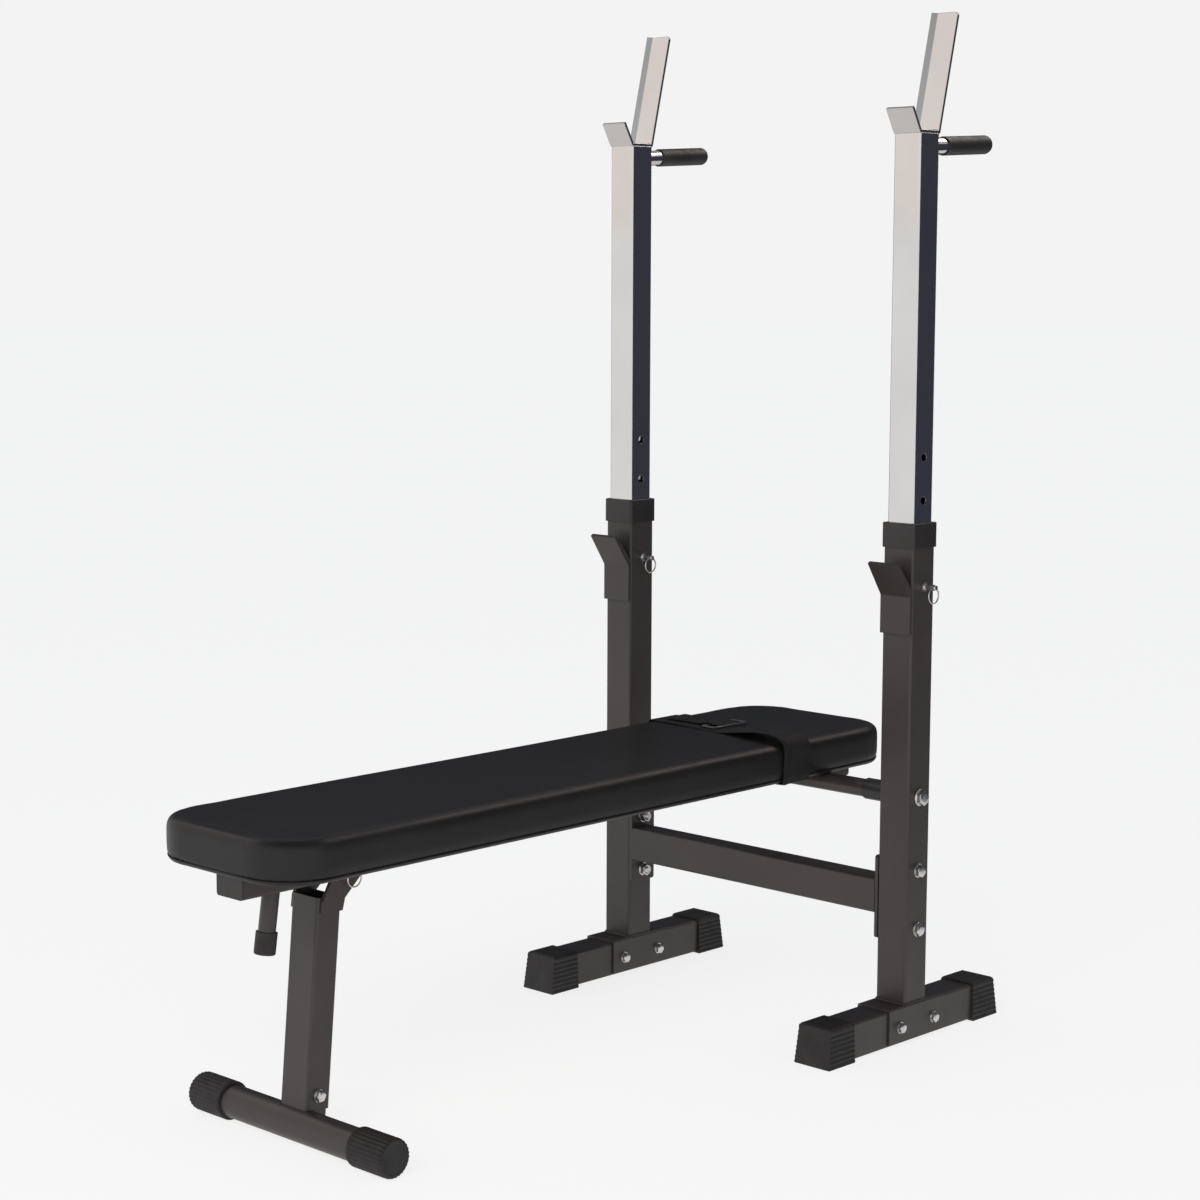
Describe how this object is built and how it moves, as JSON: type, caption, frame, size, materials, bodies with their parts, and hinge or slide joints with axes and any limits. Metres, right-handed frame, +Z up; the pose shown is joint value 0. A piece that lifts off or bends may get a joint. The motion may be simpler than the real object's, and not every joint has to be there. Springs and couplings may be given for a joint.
{
  "type": "olympic bench press",
  "caption": "Folding bench press: padded flat bench hinged between posts whose chromed, pin-locked masts carry bar rests.",
  "frame": {"origin": "centre of the bottom of the whole object's box, on the floor", "axes": "+Z up; the bench runs along Y with its foot end towards -Y and the masts at +Y; X runs across, from the left mast (-X) to the right mast (+X)"},
  "size_m": [0.6066, 1.201, 1.4162],
  "materials": {
    "black_frame": "satin powder coat",
    "chrome": "polished",
    "zinc": "bright zinc plate",
    "rubber": "matt",
    "grip": "matt foam rubber",
    "plastic": "satin moulded",
    "bush": "satin nylon",
    "pad_cover": "smooth satin vinyl",
    "foam": "open-cell foam",
    "board": "raw plywood",
    "webbing": "woven",
    "buckle": "gloss moulded"
  },
  "bodies": {
    "stand": {"post_left": "black_frame", "collar_left": "plastic", "foot_rail_left": "black_frame", "j_hook_left": "black_frame", "post_right": "black_frame", "collar_right": "plastic", "foot_rail_right": "black_frame", "j_hook_right": "black_frame", "saddles": "black_frame", "end_plates": "black_frame", "boots": "rubber", "cross_beam": "black_frame", "beam_bolts": "zinc", "beam_nuts": "zinc", "saddle_bolts": "zinc", "saddle_nuts": "zinc", "frame_washers": "zinc", "pivot_bolts": "zinc", "thrust_washers": "bush"},
    "left_mast": {"mast_left": "chrome", "bar_rest_left": "chrome", "handle_rod_left": "chrome", "grip_left": "grip", "mast_plug_left": "plastic"},
    "right_mast": {"mast_right": "chrome", "bar_rest_right": "chrome", "handle_rod_right": "chrome", "grip_right": "grip", "mast_plug_right": "plastic"},
    "left_pin": {"mast_pin_left": "zinc"},
    "right_pin": {"mast_pin_right": "zinc"},
    "left_ring": {"mast_ring_left": "zinc"},
    "right_ring": {"mast_ring_right": "zinc"},
    "bench": {"pad_cover": "pad_cover", "pad_foam": "foam", "pad_board": "board", "spine": "black_frame", "spine_plug": "plastic", "head_bracket": "black_frame", "pad_arms": "black_frame", "pad_screws": "zinc", "pivot_tube": "black_frame", "pivot_bushes": "bush", "strap": "webbing", "strap_buckle": "buckle", "stub_handle": "black_frame", "stub_tip": "rubber", "leg_hinge_bolt": "zinc", "leg_hinge_nut": "zinc", "leg_hinge_washers": "zinc"},
    "leg": {"leg_tube": "black_frame", "leg_ears": "black_frame", "foot_caps": "rubber", "foot_stub": "black_frame", "foot_tube": "black_frame", "leg_bolt": "zinc", "leg_nut": "zinc", "leg_bolt_washers": "zinc"},
    "leg_pin_body": {"leg_pin": "zinc"},
    "leg_ring_body": {"leg_ring": "zinc"}
  },
  "joints": [
    {"name": "left_mast_slide", "type": "slide", "parent": "stand", "child": "left_mast", "axis": [0, 0, 1], "range_m": [-0.177, 0]},
    {"name": "right_mast_slide", "type": "slide", "parent": "stand", "child": "right_mast", "axis": [0, 0, 1], "range_m": [-0.177, 0]},
    {"name": "left_pin_pull", "type": "slide", "parent": "stand", "child": "left_pin", "axis": [1, 0, 0], "range_m": [0, 0.03]},
    {"name": "left_ring_swing", "type": "hinge", "parent": "left_pin", "child": "left_ring", "pos_m": [-0.2232, 0.4095, 0.64], "axis": [0, -1, 0], "range_deg": [-40, 120]},
    {"name": "right_pin_pull", "type": "slide", "parent": "stand", "child": "right_pin", "axis": [1, 0, 0], "range_m": [0, 0.03]},
    {"name": "right_ring_swing", "type": "hinge", "parent": "right_pin", "child": "right_ring", "pos_m": [0.2988, 0.4095, 0.64], "axis": [0, -1, 0], "range_deg": [-40, 120]},
    {"name": "bench_fold", "type": "hinge", "parent": "stand", "child": "bench", "pos_m": [-0.0047, 0.4095, 0.3465], "axis": [-1, 0, 0], "range_deg": [0, 90]},
    {"name": "leg_fold", "type": "hinge", "parent": "bench", "child": "leg", "pos_m": [-0.0047, -0.3895, 0.345], "axis": [1, 0, 0], "range_deg": [0, 95.5]},
    {"name": "leg_pin_pull", "type": "slide", "parent": "leg", "child": "leg_pin_body", "axis": [1, 0, 0], "range_m": [0, 0.03]},
    {"name": "leg_ring_swing", "type": "hinge", "parent": "leg_pin_body", "child": "leg_ring_body", "pos_m": [0.0328, -0.4085, 0.34], "axis": [0, -1, 0], "range_deg": [-12, 120]}
  ]
}
